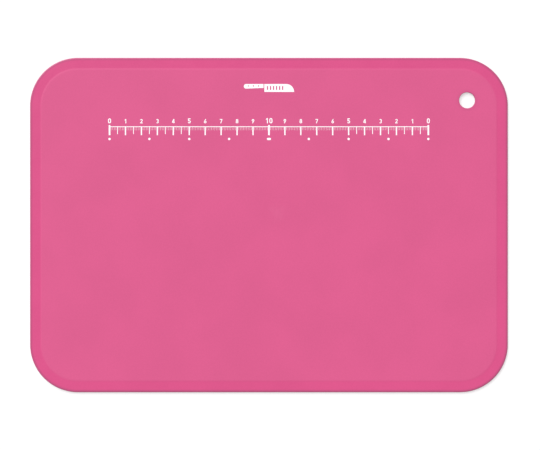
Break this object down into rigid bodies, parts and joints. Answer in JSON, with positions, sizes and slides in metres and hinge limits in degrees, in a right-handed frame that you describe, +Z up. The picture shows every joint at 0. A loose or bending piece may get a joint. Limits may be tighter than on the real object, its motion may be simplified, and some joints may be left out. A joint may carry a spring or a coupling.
{
  "type": "flexible cutting board",
  "caption": "Thin flexible moulded cutting board with rounded corners, a smooth border, a hanging hole and a printed centimetre scale that counts up to the middle and down again.",
  "frame": {"origin": "middle of the underside, which rests on the worktop", "axes": "+X along the board towards the end with the hanging hole, +Y across it towards the side with the printed scale, +Z up out of the printed face"},
  "size_m": [0.3, 0.21, 0.002],
  "materials": {
    "elastomer": "matte",
    "ink": "matte"
  },
  "bodies": {
    "root": {"board": "elastomer", "bold_tick_left": "ink", "bold_tick_middle": "ink", "bold_tick_right": "ink", "scale_line_left": "ink", "unit_ticks_left": "ink", "half_unit_ticks_left": "ink", "fine_ticks_left": "ink", "scale_line_right": "ink", "unit_ticks_right": "ink", "half_unit_ticks_right": "ink", "fine_ticks_right": "ink", "numeral_0_left": "ink", "numeral_1_left": "ink", "numeral_2_left": "ink", "numeral_3_left": "ink", "numeral_4_left": "ink", "numeral_5_left": "ink", "numeral_6_left": "ink", "numeral_7_left": "ink", "numeral_8_left": "ink", "numeral_9_left": "ink", "numeral_0_right": "ink", "numeral_1_right": "ink", "numeral_2_right": "ink", "numeral_3_right": "ink", "numeral_4_right": "ink", "numeral_5_right": "ink", "numeral_6_right": "ink", "numeral_7_right": "ink", "numeral_8_right": "ink", "numeral_9_right": "ink", "numeral_10": "ink", "quarter_dot_1_left": "ink", "quarter_dot_2_left": "ink", "quarter_dot_3_left": "ink", "quarter_dot_4_left": "ink", "quarter_dot_1_right": "ink", "quarter_dot_2_right": "ink", "quarter_dot_3_right": "ink", "quarter_dot_4_right": "ink", "middle_oval": "ink", "knife_blade": "ink", "knife_handle": "ink"}
  },
  "joints": []
}
